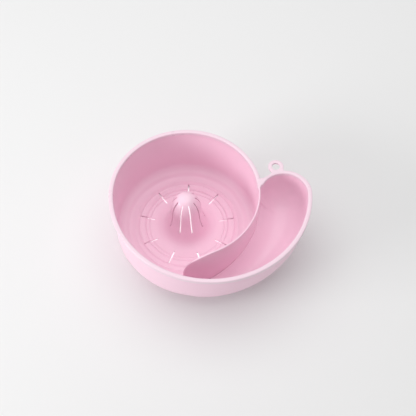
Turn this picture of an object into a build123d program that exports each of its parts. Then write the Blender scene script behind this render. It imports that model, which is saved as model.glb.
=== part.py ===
from build123d import *
import os
from math import cos, sin, tan, radians, degrees, sqrt, atan2

# Snail-shaped washing and drain bowl in one rigid moulding, described as its
# moulded regions.  Millimetres, +Z up.  The working origin is on the axis of
# the round bowl, at the table plane; the side tray opens towards +X and sweeps
# round the front (-Y).  The written parts are shifted so that their origin is
# the bottom centre of the whole bowl's box.

# ---- driving dimensions -------------------------------------------------
H_RIM = 79.2            # table to the top of the lip
LIP_T = 2.4             # lip thickness
LIP_W = 3.2             # lip width
LIP_OVER = 1.2          # lip overhang outside the wall
T = 2.0                 # wall and floor thickness
R_BOWL = 85.5           # lip outer radius of the round bowl
R_BIG = 113.5           # lip outer radius of the spiral front
X_BIG = R_BIG - R_BOWL  # centre of the spiral front, tangent on the left
R_TAIL = 29.0           # lip outer radius of the tray's tail
A_TAIL = -1.0           # direction of the tail from the spiral's centre
DRAFT = 3.0             # total inset of the outer wall, lip to base
Z_FLOOR = 4.8           # top of the drain floor
R_FLOOR = 62.0          # outer radius of the drain floor
R_DOME = 33.0           # where the dome's flare meets the drain floor
Z_LEDGE = 8.4           # top of the ledge round the drain floor
R_STEP = 64.0           # inner radius of the ledge
FIL_BOWL = 10.0         # fillet between ledge and bowl wall
BOWL_DRAFT = 1.6        # radius lost from lip to base on the bowl wall
N_SLOT = 9              # slots in the floor and slits in the dome
SLOT_W = 1.7
SLOT_R0, SLOT_R1 = 39.4, 56.9
SLIT_Z0, SLIT_Z1 = 19.2, 62.8
SLIT_W = 1.8
ROT = -1.5              # turn of the slot pattern about Z
BAND_R0, BAND_R1, BAND_H = 49.0, 55.5, 1.4
Z_FOOT = 2.8            # underside of the drain floor above the table
FOOT_T = 2.4            # thickness of the skirt that the bowl stands on
RISE0, RISE = 4.8, 0.165   # underside of the tray: height and slope of its ramp
RISE_DIR = 33.0         # direction in which the ramp rises
FIL_TRAY = 21.0         # rounding of the tray's underside
END_A = -92.0           # angle at which the divider ends
END_TOP = -69.0         # angle at which its top edge starts to drop
EYE_R, EYE_HOLE, EYE_T = 8.8, 4.5, 2.4
EYE_X, EYE_Y = 103.0, 34.0

BX = X_BIG


def arc(cx, cy, r, a0, a1):
    am = (a0 + a1) / 2
    p = [(cx + r * cos(radians(a)), cy + r * sin(radians(a))) for a in (a0, am, a1)]
    return ThreePointArc(*p)


def snail(o, z, rg, rb, rt, rn, at):
    """Plan outline of the spiral body, inset by o, as a face at height z: the big
    front arc, the tail, the hollow behind the tail and an inner arc that stays
    inside the round bowl."""
    tx, ty = BX + (rg - rt) * cos(radians(at)), (rg - rt) * sin(radians(at))
    cx = BX - (rg - rb)
    p, q, d = rb + rn, rt + rn, sqrt((tx - cx) ** 2 + ty * ty)
    u = (p * p - q * q + d * d) / (2 * d)
    h = sqrt(p * p - u * u)
    ex, ey = (tx - cx) / d, ty / d
    nx, ny = cx + u * ex - h * ey, u * ey + h * ex
    a_t = degrees(atan2(ny - ty, nx - tx))
    a_b = degrees(atan2(ny, nx - cx))
    e = [arc(BX, 0, rg - o, 180, 270),
         arc(BX, 0, rg - o, 270, 360 + at),
         arc(tx, ty, rt - o, at, a_t),
         arc(nx, ny, rn + o, a_t + 180, a_b + 180),
         arc(cx, 0, rb - o, a_b, 180)]
    f = Face(Wire(e))
    if f.normal_at().Z < 0:
        f = -f
    return Pos(0, 0, z) * f


OUT = (R_BIG, 80.0, R_TAIL, 15.0, A_TAIL)
INN = (R_BIG - LIP_W, 70.0, R_TAIL - LIP_W + 1.2, 16.0, A_TAIL - 0.5)
TX = BX + (R_BIG - R_TAIL) * cos(radians(A_TAIL))
TY = (R_BIG - R_TAIL) * sin(radians(A_TAIL))


def prism(o0, z0, o1, z1, form=OUT):
    return loft([snail(o0, z0, *form), snail(o1, z1, *form)], ruled=True)


def sector(r0, r1, a0, a1, z0, z1):
    """Annular sector, a0 to a1 counter-clockwise in degrees."""
    e = [arc(0, 0, r1, a0, a1),
         Line((r1 * cos(radians(a1)), r1 * sin(radians(a1))), (r0 * cos(radians(a1)), r0 * sin(radians(a1)))),
         arc(0, 0, r0, a1, a0),
         Line((r0 * cos(radians(a0)), r0 * sin(radians(a0))), (r1 * cos(radians(a0)), r1 * sin(radians(a0))))]
    f = Face(Wire(e))
    s = extrude(f, amount=z1 - z0, dir=(0, 0, 1))
    return Pos(0, 0, z0) * s


def ring(r0, r1, z0, z1):
    s = Pos(0, 0, (z0 + z1) / 2) * Cylinder(r1, z1 - z0)
    if r0 > 0:
        s = s - Pos(0, 0, (z0 + z1) / 2) * Cylinder(r0, z1 - z0 + 1)
    return s


def turn(points):
    """Revolve a closed polyline of (r, z) points about Z."""
    f = make_face(Polyline(*[(r, 0, z) for r, z in points], close=True))
    return revolve(f, Axis.Z)


def ramp(z0):
    """Half-space below the tray's ramp, z0 above it, as a big block."""
    c = Pos(-20, -80, RISE0 + z0) * Rot(0, 0, RISE_DIR) * Rot(0, -degrees(atan2(RISE, 1)), 0)
    return c * Pos(0, 0, -100) * Box(800, 800, 200)


def rounded(s, r):
    """Round the bottom edges of a drafted prism cut off by the ramp."""
    f = sorted(s.faces(), key=lambda q: q.center().Z)[0]
    for k in (r, r * 0.8, r * 0.6, r * 0.4):
        try:
            q = fillet(f.edges(), k)
            if q.is_valid and q.volume > 0.3 * s.volume:
                print("tray rounding", round(k, 2))
                return q
        except Exception as ex:
            print("rounding", k, "failed:", type(ex).__name__)
    return s


Z_LIP = H_RIM - LIP_T
WALL = LIP_OVER

# ---- solid envelopes -----------------------------------------------------
tray_out = rounded(prism(WALL + DRAFT, -20, WALL, Z_LIP) - ramp(0), FIL_TRAY)
tray_in = rounded(prism(DRAFT, -20, 0, Z_LIP + 0.01, INN) - ramp(T), FIL_TRAY - T)

ro_top, ro_bot = R_BOWL - WALL, R_BOWL - WALL - BOWL_DRAFT
ri_top, ri_bot = ro_top - T, ro_bot - T
bowl_out = turn([(0, 0), (ro_bot - 0.8, 0), (ro_bot, 1.2), (ro_top, Z_LIP), (0, Z_LIP)])

# bowl cavity: drain floor, step, ledge, fillet, wall
fz = Z_LEDGE
k = FIL_BOWL
cav = [(0, Z_FLOOR), (R_FLOOR, Z_FLOOR), (R_STEP, fz)]
for i in range(0, 11):
    a = radians(-90 + 9 * i)
    cav.append((ri_bot - k + k * cos(a) + 0.02 * i, fz + k + k * sin(a)))
cav += [(ri_top, Z_LIP + 0.01), (0, Z_LIP + 0.01)]
bowl_in = turn(cav)

core = Pos(0, 0, 60) * Cylinder(ro_top, 200)
passage = sector(R_STEP + 6, ro_top, 180, 360 + END_A, fz, Z_LIP + 0.01) & tray_in
# hollow underside of the floor and ledge, inside the skirt that it stands on
sk = ro_bot - FOOT_T
under = turn([(0, -1), (0, Z_FOOT), (R_FLOOR + 0.6, Z_FOOT), (R_STEP + 0.6, fz - T), (sk - 6, fz - T),
              (sk - 1.0, fz - T + 1.6), (sk, fz - T + 0.4), (sk, -1)])
shell = (tray_out + bowl_out) - bowl_in - (tray_in - core) - passage - under - Pos(0, 0, -50) * Box(600, 600, 100)

# ---- the divider's free end, as a profile in X and Z ----------------------
end_pts = [(31.0, H_RIM + 0.8), (21.3, 76.2), (14.3, 71.8), (7.9, 66.2), (2.9, 58.8), (0.0, 51.6), (-2.2, 42.0), (-2.9, 30.0)]
end_edge = Spline(*[(x, 0, z) for x, z in end_pts], tangents=[(-1, 0, -0.2), (0, 0, -1)])
end_face = Face(Wire([end_edge, Line((-2.9, 0, 30), (-2.9, 0, fz)), Line((-2.9, 0, fz), (-40, 0, fz)),
                      Line((-40, 0, fz), (-40, 0, H_RIM + 2)), Line((-40, 0, H_RIM + 2), (31.0, 0, H_RIM + 2)),
                      Line((31.0, 0, H_RIM + 2), (31.0, 0, H_RIM + 0.8))]))
end_cut = extrude(end_face, amount=60, dir=(0, -1, 0))
end_cut = Pos(0, -50, 0) * end_cut

BIG = 300
A0, A1 = 3.0, 180.0                       # back of the bowl
AE = 360 + END_A                          # divider's end
floor_cut = ring(0, R_FLOOR, -1, fz)
dome_cut = ring(0, R_DOME, -1, 90)
back = sector(0.5, ro_top, A0, A1, -1, Z_LIP)
front = sector(0.5, ro_top, A1, 360 + A0, -1, Z_LIP)

bowl_wall = (shell & back) - floor_cut
front_ledge = (shell & sector(0.5, ro_top, A1, 360 + A0, -1, fz)) - floor_cut
divider = shell & sector(R_STEP, ro_top, AE, 360 + A0, fz, Z_LIP)
top = sector(ri_top, ro_top, AE, 360 + A0, Z_LIP, H_RIM)
divider = (divider + top) - end_cut
outer = shell - core
rest = shell & sector(R_STEP, ro_top, A1, AE, fz, Z_LIP)
spiral_wall = (outer & sector(0.5, BIG, A1, AE, -1, Z_LIP + 1)) + rest
side_tray = outer - sector(0.5, BIG, A1, AE, -1, Z_LIP + 1) - sector(0.5, BIG, 40, A1, -1, Z_LIP + 1)

# ---- drain floor with its raised band and slots ---------------------------
drain_floor = turn([(R_DOME, Z_FOOT), (R_FLOOR, Z_FOOT), (R_FLOOR, Z_FLOOR), (BAND_R1 + 0.8, Z_FLOOR),
                    (BAND_R1, Z_FLOOR + BAND_H), (BAND_R0, Z_FLOOR + BAND_H), (BAND_R0 - 0.8, Z_FLOOR), (R_DOME, Z_FLOOR)])
for i in range(N_SLOT):
    a = -90 + ROT + 20 + 40 * i
    drain_floor -= Rot(0, 0, a) * Pos((SLOT_R0 + SLOT_R1) / 2, 0, 5) * Box(SLOT_R1 - SLOT_R0, SLOT_W, 10)

# ---- slotted dome ----------------------------------------------------------
do = [(0, 66.0), (5.0, 65.4), (9.84, 62.8), (14.64, 55.6), (17.4, 45.6), (18.9, 30.6), (22.3, 17.2), (27.0, 7.4), (R_DOME, Z_FLOOR)]
di = [(R_DOME, Z_FOOT), (25.8, 4.9), (20.7, 15.6), (17.1, 30.2), (15.6, 45.2), (12.9, 54.8), (8.4, 61.2), (4.4, 63.6), (0, 64.2)]
dome_face = Face(Wire([Spline(*[(r, 0, z) for r, z in do], tangents=[(1, 0, 0), (1, 0, -0.12)]),
                       Line((R_DOME, 0, Z_FLOOR), (R_DOME, 0, Z_FOOT)),
                       Spline(*[(r, 0, z) for r, z in di], tangents=[(-1, 0, 0.12), (-1, 0, 0)]),
                       Line((0, 0, 64.2), (0, 0, 66.0))]))
strainer_dome = revolve(dome_face, Axis.Z)
for i in range(N_SLOT):
    a = -90 + ROT + 20 + 40 * i
    strainer_dome -= Rot(0, 0, a) * Pos(18.4, 0, (SLIT_Z0 + SLIT_Z1) / 2) * Box(20, SLIT_W, SLIT_Z1 - SLIT_Z0)

# ---- lip and hanging eye ----------------------------------------------------
rim_out = prism(0, Z_LIP, 0, H_RIM) + ring(0, R_BOWL, Z_LIP, H_RIM)
tray_mouth = prism(0, Z_LIP - 1, 0, H_RIM + 1, INN) - sector(60, ro_top, A0, 20, Z_LIP - 2, H_RIM + 2)
rim_lip = rim_out - tray_mouth - ring(0, ri_top, Z_LIP - 1, H_RIM + 1) - top
eye_disc = Pos(EYE_X, EYE_Y, H_RIM - EYE_T / 2) * Cylinder(EYE_R, EYE_T)
ux, uy = TX - EYE_X, TY - EYE_Y
ul = sqrt(ux * ux + uy * uy)
neck = Pos(EYE_X + ux / ul * 6, EYE_Y + uy / ul * 6, H_RIM - EYE_T / 2) * Rot(0, 0, degrees(atan2(uy, ux))) * Box(12, 11, EYE_T)
hanging_eye = (eye_disc + neck) - Pos(EYE_X, EYE_Y, H_RIM) * Cylinder(EYE_HOLE, 20) - prism(0, Z_LIP - 1, 0, H_RIM + 1)

nodes = {
    "bowl_wall": bowl_wall, "front_ledge": front_ledge, "spiral_wall": spiral_wall, "side_tray": side_tray,
    "divider_wall": divider, "drain_floor": drain_floor, "strainer_dome": strainer_dome,
    "rim_lip": rim_lip, "hanging_eye": hanging_eye,
}

# origin at the bottom centre of the box that the lip spans
SHIFT_X = -(BX + R_BIG - R_BOWL) / 2
SHIFT_Y = (R_BIG - R_BOWL) / 2
print("shift", SHIFT_X, SHIFT_Y)

os.makedirs("parts", exist_ok=True)
for name, s in nodes.items():
    sol = sorted(s.solids(), key=lambda q: -q.volume)
    keep = [q for q in sol if q.volume > 20]
    print(name, [round(q.volume, 1) for q in sol], all(q.is_valid for q in keep))
    keep = [Pos(SHIFT_X, SHIFT_Y, 0) * q for q in keep]
    c = keep[0] if len(keep) == 1 else Compound(children=keep)
    c.label = name
    export_step(c, "parts/" + name + ".step")
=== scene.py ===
import bpy
import bmesh
from math import radians, cos, sin, pi, sqrt
import numpy as np
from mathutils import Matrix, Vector


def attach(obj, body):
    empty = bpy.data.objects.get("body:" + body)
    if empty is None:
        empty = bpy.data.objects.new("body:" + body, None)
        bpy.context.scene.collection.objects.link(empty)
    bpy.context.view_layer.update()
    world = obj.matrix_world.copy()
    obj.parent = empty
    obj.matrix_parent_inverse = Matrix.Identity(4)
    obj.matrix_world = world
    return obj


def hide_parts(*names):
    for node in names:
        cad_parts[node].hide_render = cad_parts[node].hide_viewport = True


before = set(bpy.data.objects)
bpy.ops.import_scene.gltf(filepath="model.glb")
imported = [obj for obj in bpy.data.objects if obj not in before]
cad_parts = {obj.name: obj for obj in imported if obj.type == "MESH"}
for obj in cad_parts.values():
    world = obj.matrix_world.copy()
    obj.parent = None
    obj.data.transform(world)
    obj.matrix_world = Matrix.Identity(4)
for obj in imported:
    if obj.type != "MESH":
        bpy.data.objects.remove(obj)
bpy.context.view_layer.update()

mm = 0.001


# ---------------------------------------------------------------- materials
def plastic(name, base, deep, rough=0.31):
    """Semi-gloss moulded polypropylene: faint cloudy colour, slight gate flow,
    fine moulding texture in roughness and bump."""
    m = bpy.data.materials.new(name)
    m.use_nodes = True
    nt = m.node_tree
    b = nt.nodes["Principled BSDF"]
    b.inputs["Specular IOR Level"].default_value = 0.5
    b.inputs["IOR"].default_value = 1.49
    tc = nt.nodes.new("ShaderNodeTexCoord")
    cloud = nt.nodes.new("ShaderNodeTexNoise")
    cloud.inputs["Scale"].default_value = 22.0
    cloud.inputs["Detail"].default_value = 4.0
    cloud.inputs["Roughness"].default_value = 0.55
    nt.links.new(tc.outputs["Object"], cloud.inputs["Vector"])
    ramp = nt.nodes.new("ShaderNodeValToRGB")
    ramp.color_ramp.elements[0].position = 0.3
    ramp.color_ramp.elements[0].color = (*deep, 1)
    ramp.color_ramp.elements[1].position = 0.7
    ramp.color_ramp.elements[1].color = (*base, 1)
    nt.links.new(cloud.outputs["Fac"], ramp.inputs["Fac"])
    nt.links.new(ramp.outputs["Color"], b.inputs["Base Color"])
    fine = nt.nodes.new("ShaderNodeTexNoise")
    fine.inputs["Scale"].default_value = 900.0
    fine.inputs["Detail"].default_value = 3.0
    nt.links.new(tc.outputs["Object"], fine.inputs["Vector"])
    rr = nt.nodes.new("ShaderNodeMapRange")
    rr.inputs["From Min"].default_value = 0.3
    rr.inputs["From Max"].default_value = 0.7
    rr.inputs["To Min"].default_value = rough - 0.015
    rr.inputs["To Max"].default_value = rough + 0.02
    nt.links.new(cloud.outputs["Fac"], rr.inputs["Value"])
    nt.links.new(rr.outputs["Result"], b.inputs["Roughness"])
    bump = nt.nodes.new("ShaderNodeBump")
    bump.inputs["Strength"].default_value = 0.03
    bump.inputs["Distance"].default_value = 0.0002
    nt.links.new(fine.outputs["Fac"], bump.inputs["Height"])
    nt.links.new(bump.outputs["Normal"], b.inputs["Normal"])
    return m


shell = plastic("shell_plastic", (0.948, 0.66, 0.785), (0.933, 0.64, 0.765))
# paler, less saturated copy of the shell plastic for the lip and the hanging eye: painted light, standing in for
# light shining through the thin translucent edges
rim = plastic("rim_plastic_painted_light", (0.88, 0.68, 0.77), (0.865, 0.655, 0.75), 0.28)

# the lip and the eye get the paler copy with the painted edge light; every other piece gets the shell plastic
for n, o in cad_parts.items():
    use = rim if n in ("rim_lip", "hanging_eye") else shell
    o.data.materials.clear()
    o.data.materials.append(use)

# ---------------------------------------------------------------- geometry
# Working frame here: millimetres, axis of the round bowl at x = y = 0, table at z = 0.
H, ZL = 79.2, 76.8            # top of the lip, top of the walls
LEDGE, FLOOR = 8.4, 4.8
BX = 28.0                     # centre of the spiral front
R_L = 70.0                    # where the ledge ends and the wall's rounding starts
CXY = np.array([111.8, -1.8])  # centre of the tail
TH_C = np.degrees(np.arctan2(CXY[1], CXY[0])) + 360
T_OUT, R_TO = np.array([112.487, -1.475]), 29.0
T_INN, R_TI = np.array([111.271, -2.181]), 27.0
N_OUT, R_NO = np.array([83.94, 32.02]), 15.0
N_INN, R_NI = np.array([72.22, 15.87]), 16.0
NW, NH, NA = 12, 20, 6


def ss(t):
    t = np.clip(t, 0, 1)
    return t * t * (3 - 2 * t)


def fq(t):
    t = np.clip(t, 0, 1)
    return 1 - np.sqrt(np.clip(1 - (1 - t) ** 2, 0, 1))


def big(th, R, o=0.0):
    a = np.radians(th)
    return BX * np.cos(a) + np.sqrt((R - o) ** 2 - (BX * np.sin(a)) ** 2)


def xyz(th, r, z):
    a = np.radians(th)
    r, z = np.broadcast_arrays(np.asarray(r, float), np.asarray(z, float))
    return np.stack([r * np.cos(a), r * np.sin(a), z], -1)


def draft(th):
    return 1.6 + 2.3 * ss((th - 180) / 60)


def wall_i(th, z):
    o = draft(th) * (1 - z / ZL)
    return big(th, 110.3, o) if th > 180 else 82.3 - 1.6 * (1 - z / ZL)


def wall_e(th, z):
    o = 1.2 + draft(th) * (1 - z / ZL)
    return big(th, 113.5, o) if th > 180 else 84.3 - 1.6 * (1 - z / ZL)


def cyl(z):
    return 84.3 - 1.6 * (1 - z / ZL)


def ramp(x, y):
    return 6.8 + 0.165 * ((x + 20) * cos(radians(33)) + (y + 80) * sin(radians(33)))


def base(th, r):
    a = np.radians(th)
    w = ss((th - 268) / 26)
    return LEDGE + w * (ramp(r * np.cos(a), r * np.sin(a)) - LEDGE)


def rho(th):
    """Horizontal and vertical radius of the inside rounding."""
    if th <= 180:
        return 10.0, 10.0
    rw = wall_i(th, 20.0)
    full = min(35.0, rw - R_L - 0.3)
    h = 10 + (max(full, 10) - 10) * ss((th - 180) / 40)
    h = h + (24.5 - h) * ss((th - 305) / 54)
    v = 10 + (max(full, 10) - 10) * ss((th - 180) / 40)
    v = v + (30.0 - v) * ss((th - 290) / 69)
    return float(h), float(v)


RISE_T = np.array([-92, -82, -70, -52, -40, -22, -2, 6.0])
RISE_V = np.array([0, 2.0, 5.0, 10.8, 14.4, 17.0, 18.0, 18.0])


def rise(th, d):
    t = th - 360 if th > 180 else th
    return np.interp(t, RISE_T, RISE_V) * np.clip(1 - d / 26.0, 0, 1) ** 2


def smax(a, b):
    return (a ** 2.4 + b ** 2.4) ** (1 / 2.4)


Q = (np.arange(NH + 1) / NH) ** 2          # 0 at the edge, 1 at the spine
_rw = wall_i(TH_C, float(base(TH_C, wall_i(TH_C, 30.0))) + rho(TH_C)[1])
FR = (np.linalg.norm(CXY) - 84.3) / (_rw - 84.3)


def marks(th, rw):
    """First and middle radius of the inside section."""
    r1 = 73.0 + (84.3 - 73.0) * ss((th - 180) / 80) if th > 180 else 73.0
    return r1, r1 + (FR if th > 180 else FR) * (rw - r1)


def inside(th):
    """Inside section from the ledge to the top of the wall: rows of (r, z)."""
    h, v = rho(th)
    rw0 = wall_i(th, 30.0)
    zt = base(th, rw0) + v
    rw = wall_i(th, zt)
    r1, rs = marks(th, rw)
    ra = np.linspace(R_L, r1, NA, endpoint=False)
    rb = r1 + (rs - r1) * Q
    rc = rw - (rw - rs) * Q[::-1]
    r = np.concatenate([ra, rb, rc[1:]])
    d = np.clip(r - 84.3, 0, None)
    add = smax(v * fq((rw - r) / h), rise(th, d) if th > 268 else 0 * r)
    z = base(th, r) + add
    zw = np.linspace(z[-1], ZL, NW + 1)[1:]
    return np.concatenate([r, wall_i(th, zw)]), np.concatenate([z, zw])


I_CREASE = NA                                # row of the divider's face


def outside(th, r_in=None):
    """Outside section from the top of the wall down to the round body."""
    h, v = rho(th)
    h, v = h + 2.2, v + 2.0
    rw0 = wall_e(th, 30.0)
    zt = float(base(th, rw0)) - 2.0 + v
    rw = wall_e(th, zt)
    zw = np.linspace(ZL, zt, NW + 1)
    stop = cyl(12.0) if r_in is None else r_in
    W = max(rw - stop, 0.0)
    dl = W * Q[1:]
    r = rw - dl
    z = base(th, r) - 2.0 + v * fq(dl / h)
    return np.concatenate([wall_e(th, zw), r]), np.concatenate([zw, z])


# ---------------------------------------------------------------- mesh tools
BUILT = []


class Build:
    def __init__(self):
        self.v, self.f, self.n = [], [], 0

    def grid(self, P, wrap=False):
        """P[i, j] is a grid of points; wrap joins the last row to the first."""
        P = np.asarray(P, float)
        m, n = P.shape[:2]
        idx = self.n + np.arange(m * n).reshape(m, n)
        self.v.append(P.reshape(-1, 3))
        self.n += m * n
        last = m if wrap else m - 1
        for i in range(last):
            a, b = idx[i], idx[(i + 1) % m]
            for j in range(n - 1):
                self.f.append((a[j], a[j + 1], b[j + 1], b[j]))
        return idx

    def strip(self, A, B):
        self.grid(np.stack([np.asarray(A, float), np.asarray(B, float)]))

    def cap(self, P):
        """Planar cap through a closed list of points."""
        P = np.asarray(P, float)
        self.v.append(P)
        self.f.append(tuple(range(self.n, self.n + len(P))))
        self.n += len(P)


def finish_piece(b, name, node, mat, parts=None):
    bm = bmesh.new()
    for part in (parts or [b]):
        V = np.concatenate(part.v)
        vs = [bm.verts.new(((p[0] - 28.0) * mm, (p[1] + 14.0) * mm, p[2] * mm)) for p in V]
        for f in part.f:
            q = []
            for i in f:
                if vs[i] not in q:
                    q.append(vs[i])
            if len(q) > 2:
                try:
                    bm.faces.new(q)
                except ValueError:
                    pass
        bmesh.ops.remove_doubles(bm, verts=vs, dist=3e-6)
    caps = [f for f in bm.faces if len(f.verts) > 4]
    if caps:
        bmesh.ops.triangulate(bm, faces=caps)
    loose = [v for v in bm.verts if not v.link_faces]
    if loose:
        bmesh.ops.delete(bm, geom=loose, context="VERTS")
    bmesh.ops.recalc_face_normals(bm, faces=bm.faces)
    bad = [e for e in bm.edges if len(e.link_faces) != 2]
    if bm.calc_volume(signed=True) < 0:
        bmesh.ops.reverse_faces(bm, faces=bm.faces)
    print("piece", name, "faces", len(bm.faces), "open edges", len(bad), "ml", round(bm.calc_volume() * 1e6, 2),
          [tuple(round(c * 1000, 1) for c in e.verts[0].co) for e in bad[:4]])
    me = bpy.data.meshes.new(name)
    bm.to_mesh(me)
    bm.free()
    me.polygons.foreach_set("use_smooth", [True] * len(me.polygons))
    ob = bpy.data.objects.new(name, me)
    bpy.context.scene.collection.objects.link(ob)
    me.materials.append(mat)
    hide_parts(node)
    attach(ob, "root")
    BUILT.append(ob)
    return ob


def shared_normals(angle=40.0):
    """Smooth by angle over all pieces at once, so that where two regions of the
    moulding meet on a smooth surface, no line shows."""
    co, fn, wt, cuts = [], [], [], [0]
    for ob in BUILT:
        me = ob.data
        nl = len(me.loops)
        lv = np.zeros(nl, np.int64)
        me.loops.foreach_get("vertex_index", lv)
        V = np.zeros(len(me.vertices) * 3)
        me.vertices.foreach_get("co", V)
        V = V.reshape(-1, 3)
        ls = np.zeros(len(me.polygons), np.int64)
        lt = np.zeros(len(me.polygons), np.int64)
        me.polygons.foreach_get("loop_start", ls)
        me.polygons.foreach_get("loop_total", lt)
        Nn = np.zeros(len(me.polygons) * 3)
        me.polygons.foreach_get("normal", Nn)
        Nn = Nn.reshape(-1, 3)
        pid = np.repeat(np.arange(len(ls)), lt)
        P = V[lv]
        nxt = np.arange(nl) + 1
        nxt[ls + lt - 1] = ls
        prv = np.arange(nl) - 1
        prv[ls] = ls + lt - 1
        a, c = P[nxt] - P, P[prv] - P
        la, lc = np.linalg.norm(a, axis=1), np.linalg.norm(c, axis=1)
        ang = np.arccos(np.clip((a * c).sum(1) / np.maximum(la * lc, 1e-18), -1, 1))
        co.append(P)
        fn.append(Nn[pid])
        wt.append(ang * np.sqrt(np.maximum(la * lc, 1e-18)))
        cuts.append(cuts[-1] + nl)
    co, fn, wt = np.concatenate(co), np.concatenate(fn), np.concatenate(wt)
    key = np.floor(co / 6e-6 + 0.37).astype(np.int64)
    _, g = np.unique(key, axis=0, return_inverse=True)
    g = g.reshape(-1)
    order = np.argsort(g, kind="stable")
    gs, ns, ws = g[order], fn[order], wt[order]
    wn = ns * ws[:, None]
    acc = wn.copy()
    c = np.cos(np.radians(angle))
    most = int(np.bincount(g).max())
    for k in range(1, min(most, 400)):
        same = gs[k:] == gs[:-k]
        if not same.any():
            break
        m = same & ((ns[k:] * ns[:-k]).sum(1) > c)
        i = np.nonzero(m)[0]
        np.add.at(acc, i + k, wn[i])
        np.add.at(acc, i, wn[i + k])
    L = np.linalg.norm(acc, axis=1)
    acc = np.where(L[:, None] > 1e-15, acc / np.maximum(L[:, None], 1e-15), ns)
    out = np.empty_like(acc)
    out[order] = acc
    for ob, s, e in zip(BUILT, cuts[:-1], cuts[1:]):
        ob.data.normals_split_custom_set([tuple(v) for v in out[s:e].tolist()])


def loop_normals(L, sign):
    """Unit normals of a closed plan loop, to the left of travel times sign."""
    t = np.roll(L, -1, 0) - np.roll(L, 1, 0)
    t /= np.linalg.norm(t, axis=1)[:, None]
    return np.stack([-t[:, 1], t[:, 0]], 1) * sign


def band(b, outer, inner, z0, z1, rt, rb, so, si, crown=0.12, wide=None):
    """Rounded band between two matched plan loops."""
    no, ni = loop_normals(outer, so), loop_normals(inner, si)
    rows = []

    def row(L, n, off, z):
        P = L + n * off
        rows.append(np.concatenate([P, np.full((len(P), 1), z)], 1))
    row(outer, no, rb, z0)
    row(outer, no, rb * 0.3, z0 + rb * 0.3)
    row(outer, no, 0, z0 + rb)
    row(outer, no, 0, (z0 + z1) / 2)
    for k in range(0, 6):
        a = radians(90 * k / 5)
        row(outer, no, rt * (1 - cos(a)), z1 - crown - rt * (1 - sin(a)))
    A, B = outer + no * rt, inner + ni * rt
    for t in (0.25, 0.5, 0.75):
        P = A + (B - A) * t
        rows.append(np.concatenate([P, np.full((len(P), 1), z1 - crown + crown * 4 * t * (1 - t))], 1))
    for k in range(5, -1, -1):
        a = radians(90 * k / 5)
        row(inner, ni, rt * (1 - cos(a)), z1 - crown - rt * (1 - sin(a)))
    row(inner, ni, 0, (z0 + z1) / 2)
    row(inner, ni, 0, z0 + rb)
    row(inner, ni, rb * 0.3, z0 + rb * 0.3)
    row(inner, ni, rb, z0)
    R = np.stack(rows)                        # rows x N x 3
    R = np.concatenate([R, R[:, :1]], 1)
    b.grid(R, wrap=True)


def catmull(P, per=10):
    P = np.asarray(P, float)
    out = []
    E = np.concatenate([[2 * P[0] - P[1]], P, [2 * P[-1] - P[-2]]])
    for i in range(1, len(E) - 2):
        p0, p1, p2, p3 = E[i - 1:i + 3]
        t = np.linspace(0, 1, per, endpoint=False)[:, None]
        out.append(0.5 * (2 * p1 + (p2 - p0) * t + (2 * p0 - 5 * p1 + 4 * p2 - p3) * t ** 2 + (3 * p1 - p0 - 3 * p2 + p3) * t ** 3))
    out.append(P[-1:])
    return np.concatenate(out)


def even(P, step):
    s = np.concatenate([[0], np.cumsum(np.linalg.norm(np.diff(P, axis=0), axis=1))])
    n = max(2, int(round(s[-1] / step)))
    q = np.linspace(0, s[-1], n + 1)
    return np.stack([np.interp(q, s, P[:, k]) for k in range(P.shape[1])], 1)

# ---------------------------------------------------------------- pieces
SKIRT = [(82.87, 7.4), (82.78, 3.5), (82.72, 1.2), (82.4, 0.35), (81.9, 0.0), (80.6, 0.0), (80.35, 0.25), (80.3, 1.2), (80.2, 5.0),
         (79.6, 6.1), (78.6, 6.4), (64.7, 6.4), (63.6, 5.6), (62.6, 3.0), (62.0, 2.8)]
LEDGE_IN = [(62.0, 5.6), (62.8, 5.95), (63.6, 6.4), (64.6, 6.95), (65.6, 7.45), (66.8, 7.95), (68.0, 8.25), (69.0, 8.37)]

# round bowl wall: ledge, rounding, wall, outside, skirt
cols = []
for th in np.linspace(3, 180, 89):
    ri, zi = inside(180.0)
    re_, ze = outside(180.0)
    r = np.concatenate([[p[0] for p in LEDGE_IN], ri, re_, [p[0] for p in SKIRT]])
    z = np.concatenate([[p[1] for p in LEDGE_IN], zi, ze, [p[1] for p in SKIRT]])
    cols.append(xyz(th, r, z))
cols = np.array(cols)
b = Build()
b.grid(np.concatenate([cols, cols[:, :1]], 1))
b.cap(cols[0])
b.cap(cols[-1])
finish_piece(b, "bowl_wall_moulded", "bowl_wall", shell)


# front ledge and skirt under the spiral
def ledge_top(th, r):
    w = 1 - ss((th - 268) / 24)
    rr, zz = inside(268.0)
    lift = np.interp(r, rr[:NA + 2 * NH], zz[:NA + 2 * NH]) - LEDGE
    return LEDGE + w * np.where(r > R_L, lift, 0)


cols = []
for th in np.concatenate([np.linspace(180, 267.4, 44), np.linspace(268, 363, 48)]):
    r = np.array([R_L, 71.5, 73.0, 75.0, 77.0, 79.0, 80.6, 82.2])
    z = ledge_top(th, r) if th >= 268 else np.array([LEDGE, 7.3, 7.2, 7.2, 7.2, 7.2, 7.2, 7.2])
    ro = np.array([p[0] for p in LEDGE_IN] + list(r) + [82.87] + [p[0] for p in SKIRT])
    zo = np.array([p[1] for p in LEDGE_IN] + list(z) + [max(7.6, z[-1] - 0.1) if th >= 268 else 7.5] + [p[1] for p in SKIRT])
    cols.append(xyz(th, ro, zo))
cols = np.array(cols)
b = Build()
b.grid(np.concatenate([cols, cols[:, :1]], 1))
b.cap(cols[0])
b.cap(cols[-1])
finish_piece(b, "front_ledge_moulded", "front_ledge", shell)

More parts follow.
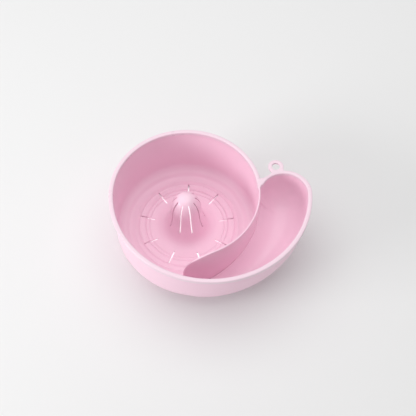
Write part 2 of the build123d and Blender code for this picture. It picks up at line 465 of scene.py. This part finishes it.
# wall of the spiral at the left front
cols = []
for th in np.linspace(180, 268, 61):
    ri, zi = inside(th)
    re_, ze = outside(th)
    zc = np.linspace(ze[-1], 7.4, 5)[1:]
    r = np.concatenate([ri, re_, cyl(zc), [81.0, 71.0]])
    z = np.concatenate([zi, ze, zc, [6.9, 6.9]])
    cols.append(xyz(th, r, z))
cols = np.array(cols)
b = Build()
b.grid(np.concatenate([cols, cols[:, :1]], 1))
b.cap(cols[0])
b.cap(cols[-1])
finish_piece(b, "spiral_wall_moulded", "spiral_wall", shell)


# side tray: sections round the bowl, then spokes round the tail's centre
def cast(p, d, c, r, far=True):
    f = p - c
    q = f @ d
    s = q * q - (f @ f - r * r)
    if s < 0:
        return 1e9
    return -q + (sqrt(s) if far else -sqrt(s))


def tail_edge(ph, o, inner, zc=60.0):
    """Distance from the tail's centre to its edge in direction ph, inset by o."""
    d = np.array([cos(radians(ph)), sin(radians(ph))])
    if inner:
        t1 = cast(CXY, d, T_INN, R_TI - o)
        P = CXY + d * t1
        a = np.degrees(np.arctan2(*(P - T_INN)[::-1]))
        if a > 155.2 or a < -20:
            t1 = cast(CXY, d, N_INN, R_NI + o, False)
        return t1
    t1 = cast(CXY, d, T_OUT, R_TO - o)
    P = CXY + d * t1
    a = np.degrees(np.arctan2(*(P - T_OUT)[::-1]))
    if a > 130.4 or a < -20:
        t1 = cast(CXY, d, N_OUT, R_NO + o, False)
    tb = cast(CXY, d, np.zeros(2), 83.4, False)
    if tb > 0 and (tb < t1 or ph > 150):
        t1 = tb
    return t1


PH0, PH1, PHC = TH_C - 360, 180 + TH_C - 360, 165.9
CORNER = np.array([84.14, 5.17])
h_c, v_c = rho(TH_C)


def pz(P, A, th=None, lower=0.0):
    r = np.linalg.norm(P)
    a = np.degrees(np.arctan2(P[1], P[0])) + 360
    return float(base(min(a, 372.0), r)) - lower + A


def spoke(ph):
    """Inside and outside rows for one direction of the tail, edge to centre."""
    d = np.array([cos(radians(ph)), sin(radians(ph))])
    wall = ph <= PHC + 1e-6
    keep = ss((PHC - ph) / 30)

    def oi(z):
        return 3.0 * (1 - z / ZL) * keep

    if wall:
        Lb = tail_edge(ph, oi(60.0), True)
        B = CXY + d * Lb
        rb = np.linalg.norm(B)
        zt = pz(B, float(smax(v_c, rise(B_ang(B), max(rb - 84.3, 0)))))
        Lb = tail_edge(ph, oi(zt), True)
        extra = 0.0
    else:
        Lb = cast(CXY, d, np.zeros(2), 84.3, False)
        extra = h_c * ss((ph - PHC) / (PH1 - PHC))
    dl = Lb * Q
    rows = []
    for x in dl:
        P = CXY + d * (Lb - x)
        A = v_c * float(fq((x + extra) / h_c))
        Bd = float(rise(B_ang(P), max(np.linalg.norm(P) - 84.3, 0)))
        rows.append((P[0], P[1], pz(P, float(smax(A, Bd)))))
    rows = np.array(rows)                       # edge -> centre
    wz = np.linspace(rows[0, 2], ZL, NW + 1)[1:]
    wall_in = []
    if wall:
        for z in wz:
            P = CXY + d * tail_edge(ph, oi(z), True)
            wall_in.append((P[0], P[1], z))
    # outside
    ko = 1 - ss((ph - 120) / 25)

    def oe(z):
        return 1.2 + 3.0 * (1 - z / ZL) * ko

    ho, vo = h_c + 2.2, v_c + 2.0
    tb = cast(CXY, d, np.zeros(2), 83.4, False) if ph > 100 else 1e9
    B = CXY + d * min(tail_edge(ph, oe(60.0), False), tb if tb > 0 else 1e9)
    zt = pz(B, vo, lower=2.0)
    Le = min(tail_edge(ph, oe(zt), False), tb if tb > 0 else 1e9)
    # past the hollow, the underside starts at the round body
    ex = 0.0
    if ph > PHE:
        ex = ho * ss((ph - PHE) / (PH1 - PHE)) ** 0.8
    dl = Le * Q
    under = []
    for x in dl:
        P = CXY + d * (Le - x)
        under.append((P[0], P[1], pz(P, vo * float(fq((x + ex) / ho)), lower=2.0)))
    under = np.array(under)
    wall_out = []
    for z in np.linspace(under[0, 2], ZL, NW + 1)[1:]:
        P = CXY + d * min(tail_edge(ph, oe(z), False), tb if tb > 0 else 1e9)
        wall_out.append((P[0], P[1], z))
    return rows, np.array(wall_in), under, np.array(wall_out)


def B_ang(P):
    return np.degrees(np.arctan2(P[1], P[0])) + 360


# direction in which the outside of the hollow meets the round body
_best = min(np.linspace(140, 152, 241), key=lambda q: abs(
    cast(CXY, np.array([cos(radians(q)), sin(radians(q))]), N_OUT, R_NO + 1.2, False)
    - cast(CXY, np.array([cos(radians(q)), sin(radians(q))]), np.zeros(2), 84.3, False)))
PHE = float(_best)
print("hollow ends at", PHE)

b = Build()
ths = np.concatenate([np.linspace(268, 300, 25), np.linspace(300, TH_C, 46)[1:]])
IN, OUTS = [], []
for th in ths:
    ri, zi = inside(th)
    ri, zi = ri[NA:], zi[NA:]                   # from the divider's face outwards
    IN.append(xyz(th, np.concatenate([[83.4], ri]), np.concatenate([[zi[0]], zi])))
    # outside: wall top -> spine -> divider, two halves with their own spacing
    h, v = rho(th)
    h, v = h + 2.2, v + 2.0
    rw0 = wall_e(th, 30.0)
    zt = float(base(th, rw0)) - 2.0 + v
    rw = wall_e(th, zt)
    rs = 84.3 + FR * (wall_i(th, zt) - 84.3)
    zw = np.linspace(ZL, zt, NW + 1)
    rc = rw - (rw - rs) * Q[1:]
    rd = 83.4 + (rs - 83.4) * Q[::-1][1:]
    r = np.concatenate([rc, rd])
    z = base(th, r) - 2.0 + v * fq((rw - r) / h)
    OUTS.append(xyz(th, np.concatenate([wall_e(th, zw), r]), np.concatenate([zw, z])))
IN, OUTS = np.array(IN), np.array(OUTS)
b.grid(IN)
b.grid(OUTS)
b.strip(IN[:, -1], OUTS[:, 0])                  # under the lip
b.strip(IN[:, 0], OUTS[:, -1])                  # inside the divider's wall
b.cap(np.concatenate([IN[0], OUTS[0]]))

phs = np.concatenate([np.linspace(PH0, 120, 61), np.linspace(120, PHE, 21)[1:], np.linspace(PHE, PHC, 16)[1:], np.linspace(PHC, PH1, 16)[1:]])
S = [spoke(p) for p in phs]
nw_ = sum(p <= PHC + 1e-6 for p in phs)
L_, O_ = IN[-1], OUTS[-1]                       # the last section lends its rows to the first and last spoke
S[0] = (L_[NH + 1:2 * NH + 2][::-1], L_[2 * NH + 2:], O_[NW:NW + NH + 1], O_[:NW][::-1])
S[-1] = (L_[1:NH + 2], [], O_[NW + NH:][::-1], [])
for s_ in S:
    s_[0][-1], s_[2][-1] = L_[NH + 1], O_[NW + NH]
b.grid([s[0] for s in S])                       # inside floor
b.grid([s[2] for s in S])                       # underside
b.grid([np.concatenate([s[0][:1], s[1]]) for s in S[:nw_]])      # inside wall
b.grid([np.concatenate([s[2][:1], s[3]]) for s in S[:nw_]])      # outside wall
b.strip([s[1][-1] for s in S[:nw_]], [s[3][-1] for s in S[:nw_]])
# inner closure from the corner to the last section, hidden in the divider's wall
lip_in = []
for s, p in zip(S[nw_ - 1:], phs[nw_ - 1:]):
    P = s[0][0]
    r = np.hypot(P[0], P[1])
    lip_in.append((P[0] * 83.4 / r, P[1] * 83.4 / r, P[2]) if p > PHC + 1e-6 else tuple(P))
lip_in[-1] = tuple(L_[0])
b.strip([s[0][0] for s in S[nw_ - 1:]], lip_in)
b.strip(lip_in, [s[2][0] for s in S[nw_ - 1:]])
c = S[nw_ - 1]
b.strip(np.concatenate([c[0][:1], c[1]]), np.concatenate([c[2][:1], c[3]]))
TRAY_DBG = b
finish_piece(b, "side_tray_moulded", "side_tray", shell)

# ---------------------------------------------------------------- divider
edge_xz = np.array([(31.0, H), (27.0, 78.35), (21.3, 76.2), (14.3, 71.8), (7.9, 66.2), (2.9, 58.8), (0.0, 51.6), (-2.2, 42.0),
                    (-2.9, 30.0), (-3.0, 18.0), (-3.0, 7.6)])
edge_uz = np.stack([np.degrees(-np.arccos(edge_xz[:, 0] / 83.3)), edge_xz[:, 1]], 1)
free = catmull(edge_uz[::-1], 12)
free_mm = np.stack([np.radians(free[:, 0]) * 83.3, free[:, 1]], 1)
free_mm = even(free_mm, 1.0)
u1 = np.radians(7.0) * 83.3
n_top = int((u1 - free_mm[-1, 0]) / 1.6)
topu = np.linspace(free_mm[-1, 0], u1, n_top + 1)[1:]
E = np.concatenate([free_mm, np.stack([topu, np.full(len(topu), H)], 1)])
E[:, 1] = np.minimum(E[:, 1], H)
# soften the corner between the sloping edge and the level top
for _ in range(6):
    E[1:-1] = 0.25 * E[:-2] + 0.5 * E[1:-1] + 0.25 * E[2:]
tg = np.gradient(E, axis=0)
tg /= np.linalg.norm(tg, axis=1)[:, None]
nrm = np.stack([-tg[:, 1], tg[:, 0]], 1)        # out of the wall
s = np.concatenate([[0], np.cumsum(np.linalg.norm(np.diff(E, axis=0), axis=1))])
u_sw = np.radians(-52.0) * 83.3
k_sw = int(np.argmin(abs(E[:, 0] - u_sw)))
cols = []
for j in range(len(E)):
    if j < k_sw:
        ub = E[0, 0] + (E[k_sw, 0] - E[0, 0]) * (s[j] / s[k_sw])
    else:
        ub = E[j, 0]
    thb = 360 + np.degrees(ub / 83.3)
    k = 10.0 * ss((thb - 267.5) / 22) + 0.8
    k = min(k, 10.0)
    ri_, zi_ = inside(180.0)
    rw = 82.3 - 1.6 * (1 - (LEDGE + k) / ZL)
    rr = np.concatenate([73.0 + (rw - 73.0) * np.linspace(0, 1, 7)[:-1] if False else rw - k * np.array([1.0, 0.93, 0.82, 0.68, 0.52, 0.37, 0.24, 0.13, 0.06, 0.02, 0.0])])
    zz = ledge_top(thb, rr) + k * fq((rw - rr) / k)
    P = [(rw - k + 0.25, zz[0] - 1.0, ub)]
    P += [(r_, z_, ub) for r_, z_ in zip(rr, zz)]
    Ej = E[j] - nrm[j] * 1.0                    # shoulder
    z0 = zz[-1]
    for t in np.linspace(0, 1, 15)[1:]:
        u, z = ub + (Ej[0] - ub) * t, z0 + (Ej[1] - z0) * t
        P.append((82.3 - 1.6 * (1 - z / ZL), z, u))
    for a in (15, 32, 50, 70, 90, 110, 130, 148, 165):
        q = E[j] - nrm[j] * (1.0 - sin(radians(a)))
        P.append((83.3 - 1.6 * (1 - q[1] / ZL) - cos(radians(a)), q[1], q[0]))
    zb = 7.9
    for t in np.linspace(0, 1, 16):
        u, z = Ej[0] + (ub - Ej[0]) * t, Ej[1] + (zb - Ej[1]) * t
        P.append((84.3 - 1.6 * (1 - z / ZL), z, u))
    P.append((82.4, 7.0, ub))
    P = np.array(P)
    cols.append(xyz(np.degrees(P[:, 2] / 83.3), P[:, 0], P[:, 1]))
cols = np.array(cols)
b = Build()
b.grid(np.concatenate([cols, cols[:, :1]], 1))
b.cap(cols[0])
b.cap(cols[-1])
finish_piece(b, "divider_moulded", "divider_wall", shell)


# ---------------------------------------------------------------- dome and drain floor
def turned(rz_out, rz_in, slot_rows, w, name, node, rot=-1.5, n=9, nb=9, tip=True):
    """Thin shell of revolution with n parallel-sided slots through it."""
    m = len(rz_out)
    i0, i1 = slot_rows
    offs = np.array([-1.0, -0.5, 0.0, 0.5, 1.0])
    seg = np.concatenate([[0], np.cumsum(np.linalg.norm(np.diff(rz_out, axis=0), axis=1))])
    A, T = [], []
    col_slot = []
    for k in range(n):
        a0 = -90 + rot + 20 + 40 * k
        for o in offs:
            A.append([a0 + np.degrees(np.arcsin(min(1.0, w / 2 / max(r, 7.0)))) * o for r in rz_out[:, 0]])
            t = seg.copy()
            if abs(o) < 1:
                bul = w / 2 * sqrt(1 - o * o)
                t[i0] -= bul
                t[i1] += bul
            T.append(t)
            col_slot.append(o < 1)
        for q in range(1, nb):
            f = q / nb
            A.append([a0 + np.degrees(np.arcsin(min(1.0, w / 2 / max(r, 7.0)))) * (1 - 2 * f) + 40 * f for r in rz_out[:, 0]])
            T.append(seg)
            col_slot.append(False)
    A, T = np.array(A), np.array(T)
    nc = len(A)

    def surf(rz):
        r = np.interp(T, seg, rz[:, 0])
        z = np.interp(T, seg, rz[:, 1])
        return np.stack([r * np.cos(np.radians(A)), r * np.sin(np.radians(A)), z], -1)
    So, Si = surf(rz_out), surf(rz_in)
    b = Build()
    io = b.n + np.arange(nc * m).reshape(nc, m)
    b.v.append(So.reshape(-1, 3))
    b.n += nc * m
    ii = b.n + np.arange(nc * m).reshape(nc, m)
    b.v.append(Si.reshape(-1, 3))
    b.n += nc * m
    for c in range(nc):
        c2 = (c + 1) % nc
        for j in range(m - 1):
            hole = col_slot[c] and i0 <= j < i1
            if hole:
                continue
            b.f.append((io[c, j], io[c, j + 1], io[c2, j + 1], io[c2, j]))
            b.f.append((ii[c, j], ii[c2, j], ii[c2, j + 1], ii[c, j + 1]))
    for c in range(nc):
        c2 = (c + 1) % nc
        # side walls of a slot
        if col_slot[c] and not col_slot[c - 1]:
            for j in range(i0, i1):
                b.f.append((io[c, j], io[c, j + 1], ii[c, j + 1], ii[c, j]))
        if not col_slot[c] and col_slot[c - 1]:
            for j in range(i0, i1):
                b.f.append((io[c, j], ii[c, j], ii[c, j + 1], io[c, j + 1]))
        if col_slot[c]:
            for j in (i0, i1):
                b.f.append((io[c, j], ii[c, j], ii[c2, j], io[c2, j]))
        for j in (0, m - 1):
            if rz_out[j, 0] > 0.01:
                b.f.append((io[c, j], ii[c, j], ii[c2, j], io[c2, j]))
    return finish_piece(b, name, node, shell)


def inner_of(P, t):
    d = np.gradient(P, axis=0)
    d /= np.linalg.norm(d, axis=1)[:, None]
    n = np.stack([d[:, 1], -d[:, 0]], 1)
    return P + n * t


prof = catmull([(44.6, 4.55), (39.6, 4.45), (36.0, 4.75), (33.0, 5.5), (30.0, 6.8), (27.2, 8.9), (24.6, 12.6), (22.4, 18.4), (20.5, 24.5),
                (18.95, 31.0), (18.0, 38.5), (17.3, 45.6), (16.3, 51.0), (14.64, 55.6), (12.6, 59.4), (9.84, 62.7), (6.6, 64.9), (3.3, 65.8),
                (0.0, 66.0)], 16)
prof[:, 0] = np.maximum(prof[:, 0], 0)
k33 = int(np.argmin(abs(prof[:, 0] - 33.0)))
dome_o = even(prof[k33:], 0.9)


def nearest_row(P, z):
    return int(np.argmin(abs(P[:, 1] - z)))


dome_i = inner_of(dome_o, -2.0)
dome_i[0] = (dome_o[0, 0], 2.8 + (dome_o[0, 1] - 4.8) * 0.6)
dome_i[:, 0] = np.maximum(dome_i[:, 0], 0)
dome_i[-1] = (0, 64.0)
for q in range(1, 6):
    w_ = (1 - q / 6)
    dome_i[q, 1] = dome_i[q, 1] * (1 - w_) + (dome_i[0, 1] + (dome_i[6, 1] - dome_i[0, 1]) * q / 6) * w_
turned(dome_o, dome_i, (nearest_row(dome_o, 20.0), nearest_row(dome_o, 62.2)), 1.7, "dome_moulded", "strainer_dome")

fl = [(62.0, 5.6), (61.0, 5.6), (60.0, 5.62), (59.0, 5.7), (58.2, 5.85), (57.5, 6.05), (57.1, 6.3), (56.8, 6.55), (56.45, 6.66), (56.15, 6.62),
      (55.85, 6.5), (55.5, 6.25), (54.8, 6.15), (53.4, 6.15), (52.0, 6.15), (50.6, 6.15), (50.1, 6.3), (49.8, 6.55), (49.5, 6.6),
      (49.2, 6.4), (48.9, 5.8), (48.6, 5.3), (48.2, 5.08), (47.5, 5.0), (46.3, 5.0), (45.5, 5.05), (45.15, 5.3), (44.85, 5.38),
      (44.6, 5.2), (44.35, 4.8), (44.0, 4.6)]
k44 = int(np.argmin(abs(prof[:, 0] - 43.4)))
fo = np.array(fl + [tuple(p) for p in prof[k44:k33:2]] + [tuple(prof[k33])])
fi = np.stack([fo[:, 0], np.full(len(fo), 2.8)], 1)
fi[-1] = dome_i[0]
fi[:, 1] = np.minimum(fi[:, 1] + 0 * fo[:, 1], fo[:, 1] - 1.0)


def row_at(P, r):
    return int(np.argmin(abs(P[:, 0] - r)))


turned(fo, fi, (row_at(fo, 56.45), row_at(fo, 39.6)), 1.7, "drain_floor_moulded", "drain_floor")

# ---------------------------------------------------------------- lip
WIDE, PROUD = 0.8, 0.9                          # the lip stands in over the wall's inside and out past its outside
def circ(c, r, a0, a1, n):
    a = np.radians(np.linspace(a0, a1, n, endpoint=False))
    return np.stack([c[0] + r * np.cos(a), c[1] + r * np.sin(a)], 1)


O = np.zeros(2)
SC = np.array([BX, 0.0])
n1, n2, n3, n4 = 150, 24, 60, 150
cor = radians(11.47)
outer = np.concatenate([circ(O, 85.5 + PROUD, 180, 11.9, n1), circ(N_OUT, R_NO - PROUD, -91.2, -49.6, n2), circ(T_OUT, R_TO + PROUD, 130.4, -1.0, n3),
                        circ(SC, 113.5 + PROUD, -1.0, -180, n4)])
wi = 82.3 - WIDE
web = np.array([(wi * cos(radians(9.0)), wi * sin(radians(9.0))), (wi * cos(radians(6.0)), wi * sin(radians(6.0))),
                (wi * cos(radians(3.4)), wi * sin(radians(3.4))), (82.3, 3.6), (83.2, 3.0), (84.0, 3.6), (84.3, 5.0), (85.0, 6.6), (86.75 - 0.3, 9.16)])
inner = np.concatenate([circ(O, wi, 180, 9.0, n1), even(web, np.linalg.norm(np.diff(web, axis=0), axis=1).sum() / n2)[:n2],
                        circ(T_INN, R_TI - WIDE, 155.2, -1.5, n3), circ(SC, 110.3 - WIDE, -1.5, -180, n4)])
b = Build()
band(b, outer, inner, 74.8, H, 1.0, 0.35, -1, 1)
finish_piece(b, "lip_moulded", "rim_lip", rim)

# ---------------------------------------------------------------- hanging eye
EC = np.array([103.0, 34.0])
to = T_OUT - EC
dist, dirn = np.linalg.norm(to), np.degrees(np.arctan2(to[1], to[0]))
ang = np.linspace(0, 360, 120, endpoint=False)
Rr = []
for a in ang:
    d = abs((a - dirn + 180) % 360 - 180)
    r = 8.8 + 2.9 * (1 - ss((d - 34) / 26))
    if d < 40:
        t = dist * cos(radians(d)) - sqrt(max(R_TO ** 2 - (dist * sin(radians(d))) ** 2, 0))
        r = min(r, t + 1.0)
    Rr.append(r)
Rr = np.array(Rr)
eo = EC + np.stack([Rr * np.cos(np.radians(ang)), Rr * np.sin(np.radians(ang))], 1)
ei = EC + 4.5 * np.stack([np.cos(np.radians(ang)), np.sin(np.radians(ang))], 1)
b = Build()
band(b, eo, ei, 76.6, H - 0.05, 0.7, 0.4, 1, -1, crown=0.05)
finish_piece(b, "hanging_eye_moulded", "hanging_eye", rim)

shared_normals()


# ---------------------------------------------------------------- stage
bm = bmesh.new()
N = 24
g = [[bm.verts.new((-1.6 + 3.2 * i / N, -1.4 + 3.2 * j / N, 0.0)) for j in range(N + 1)] for i in range(N + 1)]
for i in range(N):
    for j in range(N):
        bm.faces.new((g[i][j], g[i + 1][j], g[i + 1][j + 1], g[i][j + 1]))
me = bpy.data.meshes.new("floor")
bm.to_mesh(me)
bm.free()
floor = bpy.data.objects.new("floor", me)
bpy.context.scene.collection.objects.link(floor)
fm = bpy.data.materials.new("floor_paper")
fm.use_nodes = True
fb = fm.node_tree.nodes["Principled BSDF"]
fb.inputs["Base Color"].default_value = (0.82, 0.82, 0.82, 1)
fb.inputs["Roughness"].default_value = 0.75
fb.inputs["Specular IOR Level"].default_value = 0.2
me.materials.append(fm)

# ---------------------------------------------------------------- light
def area(name, loc, target, size, power, color=(1, 1, 1)):
    d = bpy.data.lights.new(name, "AREA")
    d.shape = "RECTANGLE"
    d.size, d.size_y = size
    d.energy = power
    d.color = color
    o = bpy.data.objects.new(name, d)
    o.location = loc
    o.rotation_euler = (Vector(target) - Vector(loc)).to_track_quat("-Z", "Y").to_euler()
    bpy.context.scene.collection.objects.link(o)
    return o


bpy.context.scene.view_settings.view_transform = "Standard"
area("key", (-1.41, -0.54, 0.56), (0, 0, 0.05), (0.8, 0.5), 11.0)
area("top", (-0.1, 0.35, 1.35), (-0.1, 0.15, 0), (2.0, 1.7), 12.5)
glow = area("under", (-0.028, 0.014, 0.0024), (-0.028, 0.014, -1.0), (0.112, 0.112), 0.024)
glow.data.shape = "DISK"
glow.visible_camera = False
world = bpy.data.worlds.new("studio")
bpy.context.scene.world = world
world.use_nodes = True
bg = world.node_tree.nodes["Background"]
bg.inputs["Color"].default_value = (1, 1, 1, 1)
bg.inputs["Strength"].default_value = 0.51

# ---------------------------------------------------------------- camera
cd = bpy.data.cameras.new("camera")
cam = bpy.data.objects.new("camera", cd)
bpy.context.scene.collection.objects.link(cam)
cam.location = (-0.0028, -0.4882, 0.8562)
cam.rotation_euler = (radians(31.7), 0, 0)
cd.sensor_width = 36
cd.lens = 71.27
bpy.context.scene.camera = cam
